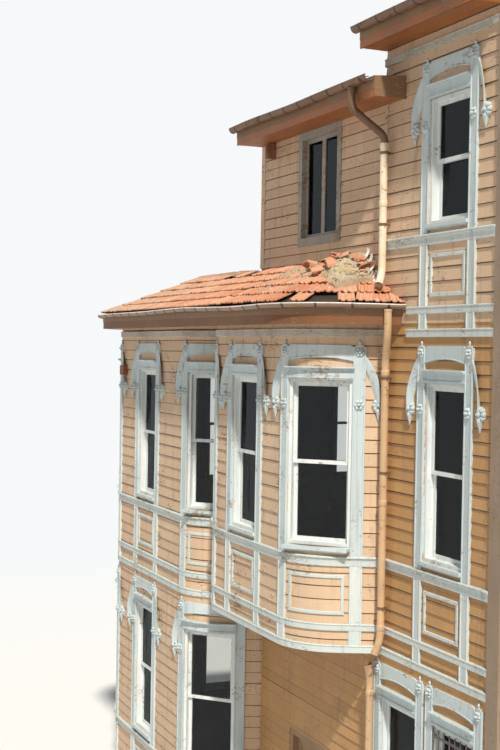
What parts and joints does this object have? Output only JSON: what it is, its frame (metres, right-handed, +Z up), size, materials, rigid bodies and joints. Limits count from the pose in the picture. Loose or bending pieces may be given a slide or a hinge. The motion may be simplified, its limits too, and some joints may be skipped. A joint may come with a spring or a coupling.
{
  "type": "timber town house with bow bays",
  "caption": "Old clapboard town house with curved bays, carved window surrounds, a tiled skirt roof, an attic block and a taller tower bay.",
  "frame": {"origin": "middle of the base's underside, under the house proper and half way between the street wall and the back wall", "axes": "+Z up, -Y towards the street, +X to the right seen from the street"},
  "size_m": [12.0349, 7.4306, 12.6062],
  "materials": {
    "stone": "rough plastered masonry",
    "floorboards": "worn boards",
    "clapboard": "faded peach paint on boards, worn",
    "clapboard_ochre": "faded ochre paint on boards, worn",
    "party_boards": "dark weathered boards",
    "trim_paint": "pale blue-white paint, peeling",
    "sash_paint": "off-white paint, peeling",
    "grey_paint": "weathered grey-blue paint",
    "window_glass": "old clear glass",
    "door_wood": "plain stained wood",
    "eave_boards": "orange-brown varnished boards",
    "gutter_metal": "weathered brown metal",
    "roof_tiles": "fired clay with lichen",
    "mortar": "broken mortar and tile",
    "pipe_metal": "ochre painted metal, worn",
    "corner_paint": "faded peach paint"
  },
  "bodies": {
    "root": {"plinth": "stone", "first_floor": "floorboards", "second_floor": "floorboards", "upper_ceilings": "floorboards", "left_bay_front": "clapboard", "left_bay_sides": "clapboard", "mid_bay_front": "clapboard", "mid_bay_sides": "clapboard", "attic_front_wall": "clapboard", "attic_side_wall": "clapboard", "end_wall": "clapboard", "back_wall": "clapboard", "upper_back_wall": "clapboard", "street_wall": "clapboard_ochre", "tower_front_wall": "clapboard_ochre", "tower_side_wall": "clapboard_ochre", "party_wall": "party_boards", "left_bay_belts": "trim_paint", "mid_bay_belts": "trim_paint", "street_belts": "trim_paint", "rear_belts": "trim_paint", "left_bay_surrounds": "trim_paint", "mid_bay_surrounds": "trim_paint", "street_surrounds": "trim_paint", "rear_surrounds": "trim_paint", "left_bay_sashes": "sash_paint", "mid_bay_sashes": "sash_paint", "street_sashes": "sash_paint", "rear_sashes": "sash_paint", "attic_casements": "grey_paint", "ground_glass": "window_glass", "first_glass": "window_glass", "second_glass": "window_glass", "entrance_door": "door_wood", "skirt_eave": "eave_boards", "upper_eaves": "eave_boards", "skirt_gutter": "gutter_metal", "upper_gutters": "gutter_metal", "skirt_roof": "roof_tiles", "attic_roof": "roof_tiles", "tower_roof": "roof_tiles", "roof_rubble": "mortar", "upper_downpipe": "pipe_metal", "lower_downpipe": "pipe_metal", "corner_boards": "corner_paint"}
  },
  "joints": []
}
